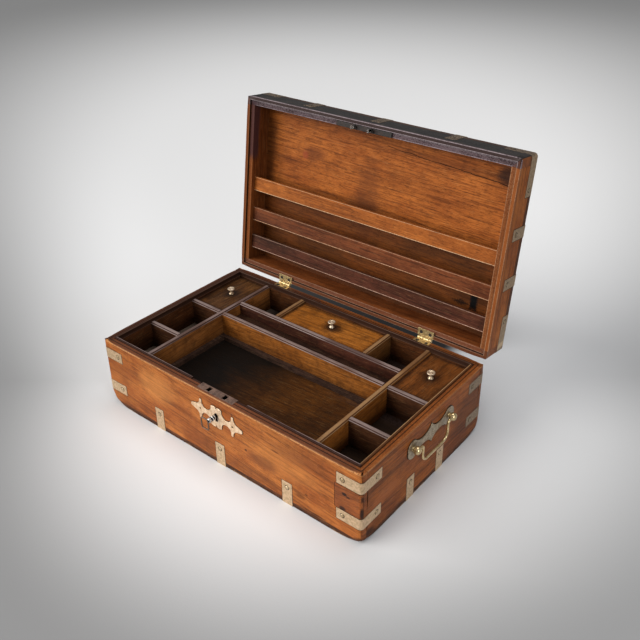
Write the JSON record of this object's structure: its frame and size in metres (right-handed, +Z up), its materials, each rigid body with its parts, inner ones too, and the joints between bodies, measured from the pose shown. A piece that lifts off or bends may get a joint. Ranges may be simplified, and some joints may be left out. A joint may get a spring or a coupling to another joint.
{
  "type": "letter chest",
  "caption": "Brass-bound wooden letter chest with a hinged lid, letter rack, lift-out compartment tray, box lock with key and drop handles.",
  "frame": {"origin": "centre of the underside of the base", "axes": "+Z up, +X along the width to the right as seen from the front, the front faces -Y"},
  "size_m": [0.5892, 0.47, 0.4758],
  "materials": {
    "front_wood": "old wax over stained hardwood",
    "side_wood": "old wax over stained hardwood",
    "dark_wood": "old wax over stained hardwood",
    "floor_wood": "old wax over stained hardwood",
    "cover_wood": "old wax over stained hardwood",
    "slat_wood": "old wax over stained hardwood",
    "panel_wood": "old wax over stained hardwood",
    "ledge_wood": "dark stained, unpolished",
    "strap_brass": "aged, dull",
    "screw_brass": "aged, dull",
    "handle_brass": "worn bright",
    "hinge_brass": "worn bright",
    "lock_brass": "tarnished",
    "dark_iron": "blackened",
    "key_steel": "worn"
  },
  "bodies": {
    "chest": {"base_front_board": "front_wood", "front_patch": "front_wood", "base_back_board": "side_wood", "base_left_board": "side_wood", "base_right_board": "side_wood", "base_bottom_board": "side_wood", "tray_bearers": "dark_wood", "base_corner_straps": "strap_brass", "base_edge_straps": "strap_brass", "base_strap_screws": "screw_brass", "escutcheon": "strap_brass", "escutcheon_pins": "screw_brass", "lock_case": "lock_brass", "lock_cover": "lock_brass", "hinge_lower_leaves": "hinge_brass", "hinge_pins": "hinge_brass", "hinge_lower_screws": "dark_iron", "handle_backplates": "strap_brass", "handle_posts": "handle_brass", "handle_nuts": "handle_brass"},
    "lid": {"lid_front_board": "side_wood", "lid_back_board": "side_wood", "lid_left_board": "side_wood", "lid_right_board": "side_wood", "lid_top_panel": "panel_wood", "letter_slat_low": "slat_wood", "letter_slat_middle": "slat_wood", "letter_slat_top": "slat_wood", "link_plate": "dark_iron", "link_staples": "dark_iron", "lid_corner_straps": "strap_brass", "lid_edge_straps": "strap_brass", "lid_strap_screws": "screw_brass", "hinge_upper_leaves": "hinge_brass", "hinge_upper_screws": "dark_iron"},
    "tray": {"tray_floor": "floor_wood", "tray_front_side": "dark_wood", "tray_back_side": "dark_wood", "tray_left_side": "dark_wood", "tray_right_side": "dark_wood", "column_wall_left": "dark_wood", "column_wall_right": "dark_wood", "well_back_wall": "dark_wood", "pen_tray_wall": "dark_wood", "pen_tray_floor": "floor_wood", "column_dividers": "dark_wood", "back_row_dividers": "dark_wood", "cover_battens": "dark_wood", "well_ledge_strips": "ledge_wood"},
    "left_cover": {"cover_left": "cover_wood", "cover_knob_left": "handle_brass"},
    "middle_cover": {"cover_middle": "cover_wood", "cover_knob_middle": "handle_brass"},
    "right_cover": {"cover_right": "cover_wood", "cover_knob_right": "handle_brass"},
    "key": {"key": "key_steel"},
    "bolt": {"lock_bolt": "dark_iron"},
    "left_bail": {"handle_bail_left": "handle_brass"},
    "right_bail": {"handle_bail_right": "handle_brass"}
  },
  "joints": [
    {"name": "lid_hinge", "type": "hinge", "parent": "chest", "child": "lid", "pos_m": [0, 0.1743, 0.13415], "axis": [-1, 0, 0], "range_deg": [-97.7, 0]},
    {"name": "tray_lift", "type": "slide", "parent": "chest", "child": "tray", "axis": [0, 0, 1], "range_m": [0, 0.07]},
    {"name": "left_cover_lift", "type": "slide", "parent": "tray", "child": "left_cover", "axis": [0, 0, 1], "range_m": [0, 0.03]},
    {"name": "middle_cover_lift", "type": "slide", "parent": "tray", "child": "middle_cover", "axis": [0, 0, 1], "range_m": [0, 0.03]},
    {"name": "right_cover_lift", "type": "slide", "parent": "tray", "child": "right_cover", "axis": [0, 0, 1], "range_m": [0, 0.03]},
    {"name": "key_turn", "type": "hinge", "parent": "chest", "child": "key", "pos_m": [-0.0045, -0.1705, 0.1], "axis": [0, -1, 0], "range_deg": [-31, 329]},
    {"name": "bolt_slide", "type": "slide", "parent": "chest", "child": "bolt", "axis": [-1, 0, 0], "range_m": [-0.00076, 0.00801]},
    {"name": "right_handle_swing", "type": "hinge", "parent": "chest", "child": "right_bail", "pos_m": [0.289, 0.008, 0.0985], "axis": [0, -1, 0], "range_deg": [-10, 95]},
    {"name": "left_handle_swing", "type": "hinge", "parent": "chest", "child": "left_bail", "pos_m": [-0.289, 0.008, 0.0985], "axis": [0, 1, 0], "range_deg": [-10, 95]}
  ],
  "couplings": [
    {"joint": "bolt_slide", "follows": "key_turn", "m_per_rad": 0.0013932}
  ]
}
